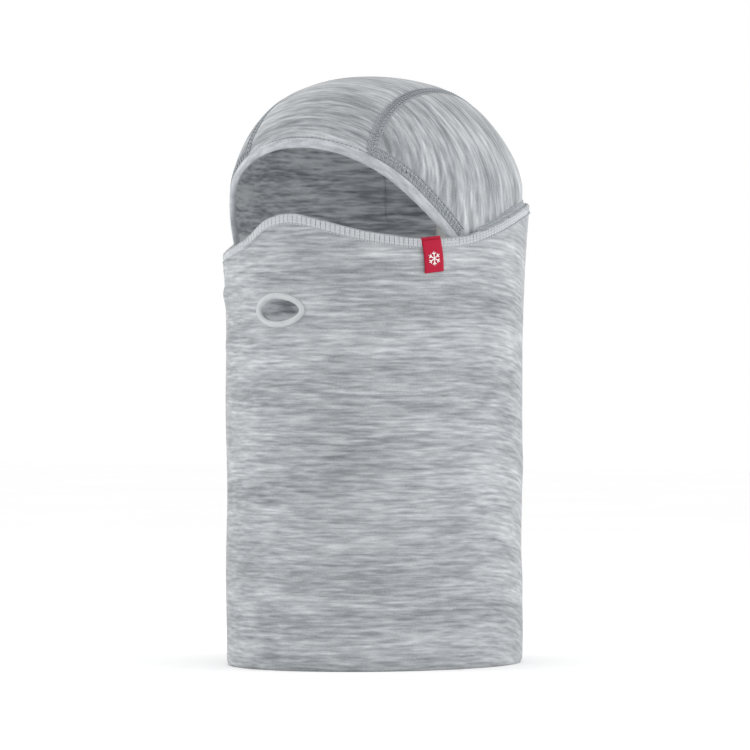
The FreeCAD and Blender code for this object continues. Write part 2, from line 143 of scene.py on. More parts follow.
# Space-dyed polyester jersey, brushed: soft ragged streaks along the courses, matt with a faint
# bloom.
def heatherKnit(name, tones, streak, contrast, seed=0.0):
    material, tree = startMaterial(name)
    fine = clothSpace(tree, streak[0], streak[1])
    wander = noise(tree, fine, 1.0, seed, Scale=0.35)
    bent = addNode(tree, "VectorMath", {1: (0.0, 0.8, 0.0)}, {0: wander.outputs["Color"]},
                   operation="MULTIPLY")
    moved = addNode(tree, "VectorMath", links={0: fine, 1: bent.outputs[0]}, operation="ADD")
    streaks = noise(tree, moved.outputs[0], 1.2, seed + 3.1, Roughness=0.5)
    dashes = noise(tree, clothSpace(tree, heather["dashLong"], heather["dashHigh"]), 1.0, seed + 5.3)
    patches = noise(tree, clothSpace(tree, heather["patchLong"], heather["patchHigh"]), 2.0, seed + 7.7)
    short = weigh(tree, dashes.outputs["Fac"], 0.55, streaks.outputs["Fac"])
    total = weigh(tree, patches.outputs["Fac"], 0.7, short)
    # The three noises add up to about middle; halved, they fit a ramp.
    middle, spread = 1.125, 0.25 / contrast
    steps = (-1.5, -0.35, 0.45, 1.5)
    halved = addNode(tree, "Math", {1: 0.5}, {0: total}, operation="MULTIPLY")
    dyed = ramp(tree, halved.outputs[0], [(min(max((middle + spread * step) / 2, 0.0), 1.0), tone)
                                          for step, tone in zip(steps, tones)])
    # The knit itself: little loops, and a fuzz of loose fibre over them.
    loops = addNode(tree, "TexVoronoi", {"Scale": 1.0, "Randomness": 0.55},
                    {"Vector": clothSpace(tree, heather["loop"] * 1.4, heather["loop"])}, feature="F1")
    fuzz = noise(tree, clothSpace(tree, 1.5, 0.9), 3.0, Roughness=0.7).outputs["Fac"]
    grain = addNode(tree, "MixRGB", {"Fac": 0.4, "Color2": (1, 1, 1, 1)}, {"Color1": dyed},
                    blend_type="SOFT_LIGHT")
    tree.links.new(fuzz, grain.inputs["Color2"])
    height = weigh(tree, loops.outputs["Distance"], -0.5, fuzz)
    endMaterial(tree, grain.outputs[0], height, 0.35, 0.35, fuzz, 0.82, 0.97, 0.18)
    return material


# Textured polyester thread: fine slanting filaments, matt, with painted shade in the grooves of its twist and
# random flecks of tone.
def spunThread(name, color, shade, twist=0.9):
    material, tree = startMaterial(name)
    wave = addNode(tree, "TexWave", {"Scale": 1.0, "Distortion": 1.2, "Detail": 1.0},
                   {"Vector": clothSpace(tree, twist * 3, twist * 3)}, bands_direction="DIAGONAL")
    fleck = noise(tree, clothSpace(tree, 5.0, 2.0), 2.0).outputs["Fac"]
    mixed = weigh(tree, wave.outputs["Fac"], 0.5, fleck)
    # Painted shade: the colour goes towards shade where the twist's relief (the same wave) is low.
    tone = ramp(tree, mixed, [(0.25, shade), (0.95, color)])
    endMaterial(tree, tone, wave.outputs["Fac"], 0.4, 0.12, fleck, 0.7, 0.9, 0.1)
    return material


outerTones = (heather["dark"], heather["mid"], heather["light"], heather["bright"])
innerTones = ("#7c8084", "#a6a9ac", "#bfc1c4", "#d0d2d3")
bandTones = ("#83878b", "#9b9fa3", "#aeb1b5", "#c0c3c7")
outerStreak = (heather["streakLong"], heather["streakHigh"])
tubeKnit = heatherKnit("heatherJerseyBrushed", outerTones, outerStreak, 1.0)
crownKnit = heatherKnit("heatherJerseyCrown", outerTones, (34.0, 2.6), 1.15, 5.0)
insideKnit = heatherKnit("heatherJerseyInside", innerTones, (34.0, 3.4), 1.6, 21.0)
sideKnit = heatherKnit("heatherJerseySide", outerTones, (34.0, 3.4), 1.25, 9.0)
bandKnit = heatherKnit("heatherJerseyFolded", bandTones, (13.0, 3.0), 0.9, 13.0)
# Each thread's second colour is the painted shade in its twist grooves.
greyThread = spunThread("spunThreadGrey", "#a6abb0", "#666b70")
paleThread = spunThread("spunThreadPale", "#c6c9cc", "#a9acb0")


# Heat-bonded polyurethane film: smooth and matt, no weave, with a soft wide highlight.
def bondedFilm(name, color, shade):
    material, tree = startMaterial(name)
    cloud = noise(tree, clothSpace(tree, 9.0, 3.0), 2.0).outputs["Fac"]
    grain = noise(tree, clothSpace(tree, 0.9, 0.9), 2.0).outputs["Fac"]
    tone = ramp(tree, cloud, [(0.3, shade), (0.7, color)])
    endMaterial(tree, tone, grain, 0.15, 0.1, cloud, 0.45, 0.6, 0.0)
    return material


# Ribbon woven of polyester filament: fine ribs across it, a mild silky shine, painted shade between
# the ribs. Its 0.25 mm yarns are drawn at pitch mm, the finest that shows.
def wovenRibbon(name, color, shade, pitch, shine):
    material, tree = startMaterial(name)
    ribs, ends = [addNode(tree, "TexWave", {"Scale": 0.5, "Distortion": 0.4},
                          {"Vector": clothSpace(tree, pitch, pitch)}, bands_direction=way) for way in "YX"]
    weave = addNode(tree, "Math", links={0: ribs.outputs["Fac"], 1: ends.outputs["Fac"]},
                    operation="MULTIPLY").outputs[0]
    # Painted shade: the colour goes towards shade between the ribs, where the weave's relief is low.
    tone = ramp(tree, weave, [(0.0, shade), (0.8, color)])
    endMaterial(tree, tone, weave, 0.3, 0.1, weave, shine, shine + 0.15, 0.02)
    return material


# Matt seamless paper: nearly white, a little mottled.
def seamlessPaper(name, color, shade):
    material, tree = startMaterial(name)
    place = addNode(tree, "TexCoord")
    cloud = noise(tree, place.outputs["Object"], 3.0, Scale=3.0).outputs["Fac"]
    tone = ramp(tree, cloud, [(0.3, shade), (0.7, color)])
    endMaterial(tree, tone, cloud, 0.05, 0.1, cloud, 0.9, 0.97, 0.0)
    return material


rimFilm = bondedFilm("polyurethaneFilmBonded", "#b7babb", "#a9acae")
# Each ribbon's second colour is the painted shade between its ribs.
labelSatin = wovenRibbon("polyesterSatinWoven", "#eceae6", "#d5d3cf", 0.5, 0.35)
redRibbon = wovenRibbon("polyesterRibbonWovenRed", "#bf0c34", "#92082a", 0.55, 0.7)
# The yarn's second colour is the painted shade in its twist grooves.
whiteYarn = spunThread("filamentYarnWhite", "#f6f4f2", "#d8d5d4", 0.4)
print("materials made")


def addToScene(name, data):
    thing = bpy.data.objects.new(name, data)
    bpy.context.scene.collection.objects.link(thing)
    return thing


# points in mm; uvs hold one pair in mm for each point.
def makeMesh(name, points, faces, material, uvs):
    mesh = bpy.data.meshes.new(name)
    mesh.from_pydata((np.asarray(points) * mm).tolist(), [], faces)
    layer = mesh.uv_layers.new(name="cloth")
    corners = np.empty(len(mesh.loops), dtype=np.int32)
    mesh.loops.foreach_get("vertex_index", corners)
    layer.data.foreach_set("uv", (np.asarray(uvs)[corners] * mm).astype(np.float32).ravel())
    mesh.materials.append(material)
    mesh.polygons.foreach_set("use_smooth", [True] * len(mesh.polygons))
    mesh.update()
    return addToScene(name, mesh)


# Running length at each point of a line.
def lengthsAlong(line):
    return np.concatenate([[0], np.cumsum(np.linalg.norm(np.diff(line, axis=0), axis=1))])


# Points from their x, y and z, which may be numbers or arrays.
def stacked(*parts):
    return np.stack(np.broadcast_arrays(*parts), axis=-1)


# Quads of a grid whose points run row by row.
def gridFaces(rows, columns, closedRows=False, closedColumns=False, first=0):
    faces = []
    for i in range(rows if closedRows else rows - 1):
        for j in range(columns if closedColumns else columns - 1):
            a, b = first + i * columns, first + (i + 1) % rows * columns
            k = (j + 1) % columns
            faces.append((a + j, a + k, b + k, b + j))
    return faces


# Round threads along paths of points in mm: points, faces and thread coordinates.
def tubes(paths, radius):
    sides = 6
    points, faces, uvs = [], [], []
    angles = np.arange(sides) * 2 * math.pi / sides
    for path in paths:
        path = np.asarray(path, float)
        steps = np.gradient(path, axis=0)
        steps /= np.linalg.norm(steps, axis=1)[:, None] + 1e-9
        side = np.cross(steps, np.array([0.31, 0.22, 0.93]))
        side /= np.linalg.norm(side, axis=1)[:, None] + 1e-9
        up = np.cross(side, steps)
        count = len(path)
        length = lengthsAlong(path)
        size = np.full(count, radius)
        size[0] = size[-1] = radius * 0.45
        first = len(points)
        for i in range(count):
            ring = path[i] + size[i] * (np.cos(angles)[:, None] * side[i] + np.sin(angles)[:, None] * up[i])
            points.extend(ring)
            uvs.extend([(length[i], k * radius) for k in range(sides)])
        faces += gridFaces(count, sides, closedColumns=True, first=first)
        faces.append(tuple(first + k for k in reversed(range(sides))))
        faces.append(tuple(first + (count - 1) * sides + k for k in range(sides)))
    return points, faces, uvs


# Puts several (points, faces, uvs) together.
def joinParts(parts):
    points, faces, uvs = [], [], []
    for somePoints, someFaces, someUvs in parts:
        first = len(points)
        points.extend(somePoints)
        uvs.extend(someUvs)
        faces.extend(tuple(i + first for i in face) for face in someFaces)
    return points, faces, uvs


# A closed band: place(s, across, height) gives points, s from 0 to length in mm, and profile is
# its cross-section as (across, height) pairs.
def strip(place, length, profile, count, closed=False):
    stations = np.linspace(0, length, count, endpoint=not closed)
    points, uvs = [], []
    for s in stations:
        for across, height in profile:
            points.append(place(s, across, height))
            uvs.append((s, across))
    faces = gridFaces(count, len(profile), closedRows=closed, closedColumns=True)
    if not closed:
        faces.append(tuple(reversed(range(len(profile)))))
        faces.append(tuple((count - 1) * len(profile) + k for k in range(len(profile))))
    return points, faces, uvs


# One arched stitch from s over a run, starting at across and moving by slant.
def stitch(place, s, run, across, slant, lift, rise, shares=(0.0, 0.25, 0.5, 0.75, 1.0)):
    return [place(s + run * f, across + slant * f, lift + rise * math.sin(math.pi * f)) for f in shares]


# A flatlock seam: a low bed of thread, a looper thread that zigzags over it and a needle row
# along each edge. place(s, across, height) gives points.
def flatlock(place, length, width, pitch, threadSize, lift=0.0):
    half = width / 2
    bed = [(-half, lift), (-half * 0.85, lift + 0.12), (0, lift + 0.18), (half * 0.85, lift + 0.12),
           (half, lift), (0, lift - 0.15)]
    parts = [strip(place, length, bed, max(int(length / 2.0), 8))]
    paths = []
    stitches = int(length / pitch)
    for k in range(stitches):
        s = k * pitch
        for reach, back in [(half * 0.8, 0.0), (-half * 0.8, pitch / 2)]:
            paths.append(stitch(place, s + back, pitch / 2, -reach, 2 * reach, lift + 0.22, 0.4))
        for edge in (-half * 0.86, half * 0.86):
            paths.append(stitch(place, s, pitch, edge, 0, lift + 0.2, 0.3, (0.0, 0.3, 0.7, 0.96)))
    parts.append(tubes(paths, threadSize))
    return joinParts(parts)


# A row of lockstitches: each is a short raised stitch, with a gap before the next.
def needleRow(place, length, pitch, across, threadSize, lift=0.0):
    paths = [stitch(place, k * pitch, pitch * 0.75, across, 0, lift + 0.08, 0.35)
             for k in range(int(length / pitch))]
    return tubes(paths, threadSize)


fabric = 1.5  # thickness of the knit
footHigh, crownHigh, sideHigh = [boxOf(node)[1] for node in ("bottom_hem", "crown_panel", "left_side_panel")]
domeBase = 300.0

tube = {
    "halfWidth": footHigh[0] + fabric,
    "halfDepth": footHigh[1] + fabric,
    # the tube widens towards its upper edge
    "flareFrom": 190.0, "flareTo": 292.0, "flare": 5.6, "flareBend": 0.62,
    # (angle, height) of the upper edge: it is a little lower on the wearer's right
    "edge": [(-180, 290), (-124, 288), (-97, 278), (-84, 270), (-72, 263), (-57, 258), (-38, 259), (-20, 266),
             (-7, 277), (3, 280), (13, 277), (27, 271), (40, 267), (55, 265), (66, 266), (76, 269), (86, 274),
             (97, 280), (108, 285), (124, 289)],
    "hem": 9.5, "footRound": 4.5, "footIn": 1.9,
    "columns": 320, "rows": 104,
    "waves": 12, "waveHeight": 0.8,
    # behind this angle the courses dip by a square of the way, up to about dipMost mm
    "dipFrom": math.radians(74), "dip": 0.0018, "dipMost": 14,
    # soft folds: from (angle, height) to (angle, height), width and height of the crest
    "folds": [((-10, 247), (-54, 229), 4.0, 2.7), ((-20, 262), (-50, 247), 3.6, 1.6),
              ((-18, 216), (-48, 199), 4.0, 2.3), ((24, 232), (66, 247), 7.0, 0.5),
              ((78, 236), (120, 214), 6.0, 0.6), ((74, 170), (118, 150), 7.0, 0.5),
              ((-30, 60), (10, 66), 9.0, 0.35), ((30, 110), (80, 98), 9.0, 0.4),
              ((126, 232), (168, 214), 8.0, 0.8), ((-168, 206), (-112, 224), 8.0, 0.8),
              ((118, 122), (166, 138), 10.0, 0.7), ((-160, 112), (-104, 96), 10.0, 0.7),
              ((100, 58), (150, 48), 10.0, 0.5), ((-96, 176), (-62, 186), 8.0, 0.5)],
}
hood = {
    "halfWidth": sideHigh[0], "shift": 3.0, "halfDepth": crownHigh[1] - 3.0,
    "domeBase": domeBase, "rise": crownHigh[2] - domeBase,
    "crownHalf": crownHigh[0], "tuck": 9.0,
    "browY": -45.0, "browZ": 269.0, "browSlope": math.radians(46.5),
}


def smoothStep(x):
    x = np.clip(x, 0, 1)
    return x * x * (3 - 2 * x)


# The edge's heights as a closed cubic through its points, for every degree.
def edgeTable():
    angles = np.array([a for a, z in tube["edge"]], float)
    heights = np.array([z for a, z in tube["edge"]], float)
    angles = np.concatenate([angles - 360, angles, angles + 360])
    heights = np.tile(heights, 3)
    slopes = np.gradient(heights, angles)
    asked = np.arange(-180, 181)
    which = np.searchsorted(angles, asked, side="right") - 1
    span = angles[which + 1] - angles[which]
    f = (asked - angles[which]) / span
    return asked, ((2 * f ** 3 - 3 * f ** 2 + 1) * heights[which]
                   + (f ** 3 - 2 * f ** 2 + f) * span * slopes[which]
                   + (3 * f ** 2 - 2 * f ** 3) * heights[which + 1]
                   + (f ** 3 - f ** 2) * span * slopes[which + 1])


edgeAngles, edgeHeights = edgeTable()


# Height of the tube's upper edge at an angle in radians.
def edgeHeight(angle):
    degrees = (np.degrees(angle) + 180) % 360 - 180
    return np.interp(degrees, edgeAngles, edgeHeights)


waveNumbers = rng.uniform(0.6, 3.2, tube["waves"]).round()
waveHeights = rng.uniform(0.008, 0.035, tube["waves"])
wavePhases = rng.uniform(0, 2 * math.pi, tube["waves"])


# How far the worn tube stands off its plain form: a few long waves and soft folds, mm.
def ripple(angle, z):
    angle, z = np.broadcast_arrays(np.asarray(angle, float), np.asarray(z, float))
    total = np.zeros(angle.shape)
    for number, climb, phase in zip(waveNumbers, waveHeights, wavePhases):
        total += np.sin(number * angle + climb * z * 2 + phase)
    total *= tube["waveHeight"] / math.sqrt(tube["waves"])
    around = tube["halfDepth"] * 0.92
    wrapped = (angle + math.pi) % (2 * math.pi) - math.pi
    for start, end, width, height in tube["folds"]:
        x0, x1 = math.radians(start[0]) * around, math.radians(end[0]) * around
        dx, dz = x1 - x0, end[1] - start[1]
        f = np.clip(((wrapped * around - x0) * dx + (z - start[1]) * dz) / (dx * dx + dz * dz), 0, 1)
        away = np.hypot(wrapped * around - x0 - f * dx, z - start[1] - f * dz)
        total += height * np.exp(-(away / width) ** 2) * np.sin(math.pi * np.clip(f, 0.03, 0.97)) ** 0.5
    return total


# A point on the tube's outside, moved outwards.
def tubePoint(angle, z, out=0.0):
    climb = (np.asarray(z) - tube["flareFrom"]) / (tube["flareTo"] - tube["flareFrom"])
    grow = tube["flare"] * smoothStep(climb * tube["flareBend"]) / smoothStep(tube["flareBend"])
    off = out + grow + ripple(angle, z)
    return stacked((tube["halfWidth"] + off) * np.sin(angle), -(tube["halfDepth"] + off) * np.cos(angle),
                   np.asarray(z, float))


# Cloth coordinates on the tube: the courses run round it and dip a little behind the ears.
def yarnWay(angle, z):
    around = (tube["halfWidth"] + tube["halfDepth"]) / 2
    wrapped = (np.asarray(angle) + math.pi) % (2 * math.pi) - math.pi
    dip = tube["dip"] * np.maximum(np.abs(wrapped) - tube["dipFrom"], 0) ** 2 * around ** 2
    return stacked(angle * around, z + np.minimum(dip, tube["dipMost"] + 0.06 * dip))


# Below 0 inside the hood's form, above 0 outside.
def hoodField(p):
    aside, back = p[..., 0] / hood["halfWidth"], (p[..., 1] - hood["shift"]) / hood["halfDepth"]
    up = np.maximum(p[..., 2] - hood["domeBase"], 0) / hood["rise"]
    return aside ** 2 + back ** 2 + up ** 2 - 1


def hoodNormal(p):
    aside, back = p[..., 0] / hood["halfWidth"] ** 2, (p[..., 1] - hood["shift"]) / hood["halfDepth"] ** 2
    up = np.maximum(p[..., 2] - hood["domeBase"], 0) / hood["rise"] ** 2
    n = np.stack([aside, back, up], axis=-1)
    return n / np.linalg.norm(n, axis=-1)[..., None]


# A point on the hood beside the face opening. turn runs from -90 degrees at the wearer's right
# corner over the brow to 90 at the left; back is the distance behind the opening's plane.
def browPoint(turn, back, out=0.0):
    c, s = math.cos(hood["browSlope"]), math.sin(hood["browSlope"])
    turn, back = np.asarray(turn, float), np.asarray(back, float)
    start = stacked(0 * turn, hood["browY"] + back * s, hood["browZ"] + back * c)
    way = stacked(np.sin(turn), -np.cos(turn) * c + 0 * back, np.cos(turn) * s)
    near, far = np.zeros(start.shape[:-1]), np.full(start.shape[:-1], 200.0)
    for _ in range(40):
        middle = (near + far) / 2
        inside = hoodField(start + way * middle[..., None]) < 0
        near, far = np.where(inside, middle, near), np.where(inside, far, middle)
    p = start + way * near[..., None]
    return p + hoodNormal(p) * np.asarray(out, float)[..., None]


# A point of the hood's front-to-back line at x; turn 0 is the front of the dome and pi its back.
# Before 0 and past pi the line runs straight down, 100 mm for a radian.
def linePoint(x, turn):
    x, turn = np.broadcast_arrays(np.asarray(x, float), np.asarray(turn, float))
    shrink = np.sqrt(np.maximum(1 - (x / hood["halfWidth"]) ** 2, 0))
    arc = np.clip(turn, 0, math.pi)
    y = hood["shift"] - hood["halfDepth"] * shrink * np.cos(arc)
    down = np.maximum(turn - math.pi, 0) + np.maximum(-turn, 0)
    return stacked(x, y, hood["domeBase"] + hood["rise"] * shrink * np.sin(arc) - down * 100)


# Distance behind the face opening's plane.
def behindBrow(p):
    back, up = p[..., 1] - hood["browY"], p[..., 2] - hood["browZ"]
    return back * math.sin(hood["browSlope"]) + up * math.cos(hood["browSlope"])


# Height above the line where the hood ends, inside the tube.
def aboveTuck(p):
    angle = np.arctan2(p[..., 0] / hood["halfWidth"], -(p[..., 1] - hood["shift"]) / hood["halfDepth"])
    return p[..., 2] - (edgeHeight(angle) - hood["tuck"])


# The turns where the hood's line at x starts, at the face opening or the tuck, and ends at the
# nape.
def lineEnds(x, back=0.0):
    x = np.asarray(x, float)
    low, high = np.full(x.shape, -0.6), np.full(x.shape, 1.4)
    first, last = np.full(x.shape, math.pi), np.full(x.shape, math.pi + 0.6)
    for _ in range(40):
        middle = (low + high) / 2
        p = linePoint(x, middle)
        outside = (behindBrow(p) < back) | (aboveTuck(p) < 0)
        low, high = np.where(outside, middle, low), np.where(outside, high, middle)
        middle = (first + last) / 2
        inside = aboveTuck(linePoint(x, middle)) > 0
        first, last = np.where(inside, middle, first), np.where(inside, last, middle)
    return low, first


# Worn, the top of the hood leans a little to the front and narrows.
hoodSettle = {"lean": 4.6, "narrow": 0.03, "sink": 0.9}


def settle(points):
    p = np.array(points, float)
    climb = np.clip((p[:, 2] - hood["domeBase"]) / hood["rise"], 0, 1)
    shrink = 1 - hoodSettle["narrow"] * np.sin(math.pi * climb)
    p[:, 2] -= hoodSettle["sink"] * climb ** 2
    p[:, 0] *= shrink
    p[:, 1] = (p[:, 1] - hood["shift"]) * shrink + hood["shift"] - hoodSettle["lean"] * smoothStep(climb)
    return p


panels = {
    "columns": 44, "rows": 150, "sideColumns": 40,
    "groove": 0.55, "grooveWidth": 1.7,        # the panels dip into their seams
    "puff": 0.45, "puffAt": 9.0, "puffWidth": 6.0,
    "pucker": 0.14, "puckerPitch": 5.2,        # little gathers beside the thread
    "wave": 0.7,
}


# How far a panel stands off the hood's plain form, mm.
def panelLift(p, along):
    seam = np.abs(np.abs(p[..., 0]) - hood["crownHalf"])
    brow = behindBrow(p)
    lift = -panels["groove"] * np.exp(-(seam / panels["grooveWidth"]) ** 2)
    lift += panels["puff"] * np.exp(-((seam - panels["puffAt"]) / panels["puffWidth"]) ** 2)
    lift += panels["pucker"] * np.sin(2 * math.pi * along / panels["puckerPitch"]) * np.exp(-(seam / 5) ** 2)
    lift -= panels["groove"] * np.exp(-((brow - 5.8) / 1.3) ** 2)
    lift += panels["puff"] * np.exp(-((brow - 17) / 7) ** 2)
    waves = np.sin(p[..., 1] * 0.051 + p[..., 2] * 0.043 + 0.7)
    waves *= np.sin(p[..., 0] * 0.047 + 1.1 + p[..., 2] * 0.02)
    waves += 0.6 * np.sin(p[..., 1] * 0.083 - p[..., 2] * 0.061 + 2.0)
    return lift + panels["wave"] * 0.5 * waves * smoothStep((brow - 4) / 30)


# How far stitching on a panel stands off the hood's plain form.
def standOn(p):
    return np.maximum(panelLift(p, 0.0), 0) * (behindBrow(p) > 5)


# Closes two grids of the same size into one skin with thickness.
def shell(outside, inside, uvs, lastOpen=False):
    rows, columns = outside.shape[:2]
    points = np.concatenate([outside.reshape(-1, 3), inside.reshape(-1, 3)])
    half = rows * columns
    faces = gridFaces(rows, columns)
    faces += [tuple(half + i for i in reversed(face)) for face in faces]
    border = [(0, j) for j in range(columns)] + [(i, columns - 1) for i in range(1, rows)]
    border += [(rows - 1, j) for j in range(columns - 2, -1, -1)] + [(i, 0) for i in range(rows - 2, 0, -1)]
    ring = [i * columns + j for i, j in border]
    for a, b in zip(ring, ring[1:] + ring[:1]):
        if not (lastOpen and a % columns == b % columns == columns - 1):
            faces.append((a, a + half, b + half, b))
    return points, faces, np.concatenate([uvs.reshape(-1, 2)] * 2)


# A panel of the hood over the given x lines, front to back.
def hoodPanel(name, xs, material, courses, lastOpen=False):
    start, end = lineEnds(xs)
    share = np.linspace(0, 1, panels["rows"])[:, None]
    turns = start + (end - start) * share
    plain = linePoint(np.broadcast_to(xs, turns.shape), turns)
    steps = np.linalg.norm(np.diff(plain, axis=0), axis=-1)
    along = np.concatenate([np.zeros((1, len(xs))), np.cumsum(steps, axis=0)])
    normal = hoodNormal(plain)
    lift = panelLift(plain, along)[..., None]
    points, faces, uvs = shell(plain + normal * lift, plain + normal * (lift - fabric),
                               courses(plain, along), lastOpen)
    thing = makeMesh(name, settle(points), faces, material, uvs)
    tidy(thing)
    lineInside(thing, 3.0)
    return thing


def finishPiece(thing, nodes, body="root"):
    if body == "mask":
        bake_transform(thing)
    else:
        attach(thing, body)
    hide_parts(*nodes)


# A piece from its skin, which is its points, faces and cloth coordinates.
def addPiece(name, skin, material, nodes, body="root", clean=True):
    points, faces, uvs = skin
    thing = makeMesh(name, points, faces, material, uvs)
    if clean:
        tidy(thing)
    finishPiece(thing, nodes, body)
    return thing


def worn(skin):
    points, faces, uvs = skin
    return settle(points), faces, uvs


# Welds doubled points, drops faces with no area and turns every face outwards.
def tidy(thing):
    work = bmesh.new()
    work.from_mesh(thing.data)
    bmesh.ops.remove_doubles(work, verts=work.verts, dist=0.02 * mm)
    bmesh.ops.dissolve_degenerate(work, edges=work.edges, dist=0.01 * mm)
    bmesh.ops.recalc_face_normals(work, faces=work.faces)
    work.to_mesh(thing.data)
    work.free()
    thing.data.update()


# How the courses run on the inside and on the hood; a shift gives a panel its own part of the pattern.
yarn = {
    "insideRadius": 97,
    "crownShift": 300, "crownBow": 0.0016,
    "fanTop": 520, "fanY": -30, "fanRadius": 215, "fanLean": 0.4, "fanShift": 350,
}


# Faces that look inwards take the cloth's inner side, whose courses run level round the head.
def lineInside(thing, shift=0.0):
    mesh = thing.data
    mesh.materials.append(insideKnit)
    layer = mesh.uv_layers["cloth"].data
    for face in mesh.polygons:
        middle = face.center
        away = Vector((middle.x, middle.y - shift * mm, max(middle.z - hood["domeBase"] * mm, 0)))
        if face.normal.dot(away) < 0:
            face.material_index = 1
            turn = math.atan2(middle.x, -middle.y + shift * mm)
            for k in face.loop_indices:
                point = mesh.vertices[mesh.loops[k].vertex_index].co
                angle = math.atan2(point.x, -point.y + shift * mm)
                angle += round((turn - angle) / (2 * math.pi)) * 2 * math.pi
                layer[k].uv = (angle * yarn["insideRadius"] * mm, point.z)


# On the crown strip the courses run from side to side, parallel to the brow.
def crownYarn(p, along):
    around = hood["halfWidth"] * np.arcsin(p[..., 0] / hood["halfWidth"])
    return stacked(around + yarn["crownShift"], along + yarn["crownBow"] * around ** 2)


# On a side panel the courses fan down from a point above the hood.
def sideYarn(p, along):
    down, aside = yarn["fanTop"] - p[..., 2], p[..., 1] - yarn["fanY"]
    reach = np.hypot(down, aside) + yarn["fanLean"] * np.abs(p[..., 0])
    return stacked(reach, yarn["fanRadius"] * np.arctan2(aside, down) + np.sign(p[..., 0]) * yarn["fanShift"])


half = hood["crownHalf"]
crownPanel = hoodPanel("crownPanel", np.linspace(-half, half, panels["columns"]), crownKnit, crownYarn)
bulge = np.linspace(math.asin(half / hood["halfWidth"]), math.pi / 2, panels["sideColumns"])
leftSidePanel = hoodPanel("leftSidePanel", hood["halfWidth"] * np.sin(bulge), sideKnit, sideYarn, True)
rightSidePanel = hoodPanel("rightSidePanel", -hood["halfWidth"] * np.sin(bulge), sideKnit, sideYarn, True)
for panel, node in [(crownPanel, "crown_panel"), (leftSidePanel, "left_side_panel"),
                    (rightSidePanel, "right_side_panel")]:
    finishPiece(panel, [node])
print("hood panels made")

# the brow: band and stitching

brow = {
    "reach": math.radians(96), "bandPitch": 3.1, "scallop": 0.16,
    "threadPitch": 3.0, "threadSize": 0.4,
    "bedFrom": 5.8, "bedTo": 12.2,
}
browTurns = np.linspace(-brow["reach"], brow["reach"], 721)
browLine = browPoint(browTurns, 4.0)
browLengths = lengthsAlong(browLine)
browLength = browLengths[-1]


def browPlace(s, across, height):
    p = browPoint(np.interp(s, browLengths, browTurns), across, 0.0)
    return p + hoodNormal(p) * (height + standOn(p))


# The band is drawn in a little at each stitch.
def browBandPlace(s, across, height):
    pull = brow["scallop"] * math.sin(2 * math.pi * s / brow["bandPitch"])
    return browPlace(s, across, height + pull * math.sin(math.pi * np.clip(across / 5.5, 0, 1)))


bandProfile = [(6.0, -1.7), (2.5, -2.2), (0.4, -1.9), (-0.5, -0.6), (-0.35, 0.6), (0.7, 1.25), (2.6, 1.5),
               (4.4, 1.3), (5.6, 0.55), (6.0, -0.2)]
browBinding = addPiece("browBinding", worn(strip(browBandPlace, browLength, bandProfile, 420)), bandKnit,
                       ["brow_binding"])


# Where along the brow the band passes x, wearer's left being positive.
def nearestBrowLength(x):
    return np.interp(x, browLine[:, 0][200:521], browLengths[200:521])


bedMiddle, bedWidth = (brow["bedFrom"] + brow["bedTo"]) / 2, brow["bedTo"] - brow["bedFrom"]
leftStart, rightEnd = nearestBrowLength(half - 2.5), nearestBrowLength(-half + 2.5)
browParts = [
    flatlock(lambda s, a, h: browPlace(leftStart + s, bedMiddle + a, h), browLength - leftStart, bedWidth,
             brow["threadPitch"], brow["threadSize"]),
    flatlock(lambda s, a, h: browPlace(s, bedMiddle + a, h), rightEnd, bedWidth,
             brow["threadPitch"], brow["threadSize"]),
    needleRow(lambda s, a, h: browPlace(rightEnd + s, a, h), leftStart - rightEnd, 3.0, 6.2, 0.3, lift=-0.25),
]
browStitching = addPiece("browStitching", worn(joinParts(browParts)), greyThread, ["brow_stitching"],
                         clean=False)

crownSeam = {"width": 6.4, "pitch": 3.0, "threadSize": 0.4, "start": 9.5}


# Flatlock along one edge of the crown strip, from the brow to where the hood goes into the tube.
def crownSeamPart(sign):
    first, last = lineEnds(np.array([sign * half]), crownSeam["start"])
    turns = np.linspace(first[0], last[0], 400)
    line = linePoint(sign * half, turns)
    lengths = lengthsAlong(line)

    def place(s, across, height):
        p = linePoint(sign * half + across * 0.9, np.interp(s, lengths, turns))
        return p + hoodNormal(p) * (height + standOn(p))

    return flatlock(place, lengths[-1] - 6, crownSeam["width"], crownSeam["pitch"], crownSeam["threadSize"],
                    lift=-0.1)


crownSeams = [addPiece(name, worn(crownSeamPart(sign)), greyThread, [node], clean=False)
              for name, node, sign in [("leftCrownSeam", "left_crown_seam", 1),
                                       ("rightCrownSeam", "right_crown_seam", -1)]]
print("hood seams sewn")

rimLow, rimHigh = boxOf("breathing_hole_rim")
rimMiddle = (rimLow + rimHigh) / 2
hole = {
    "angle": math.asin((rimMiddle[0] - 6.0) / (tube["halfWidth"] + 1)), "z": rimMiddle[2],
    "halfWidth": 15.2, "halfHeight": 7.2, "point": 0.09,
    "windowColumns": 12, "windowRows": 6, "windowHalf": (21, 16), "rings": 4,
}


# The breathing hole's outline is blunt on the wearer's right and pointed on the left.
def holeCurve(turn, grow=0.0):
    across = (hole["halfWidth"] + grow) * np.cos(turn)
    narrow = 1 - hole["point"] * np.cos(turn) - 0.03 * np.cos(2 * turn)
    up = (hole["halfHeight"] * narrow + grow) * np.sin(turn)
    return hole["angle"] + across / tube["halfWidth"], hole["z"] + up


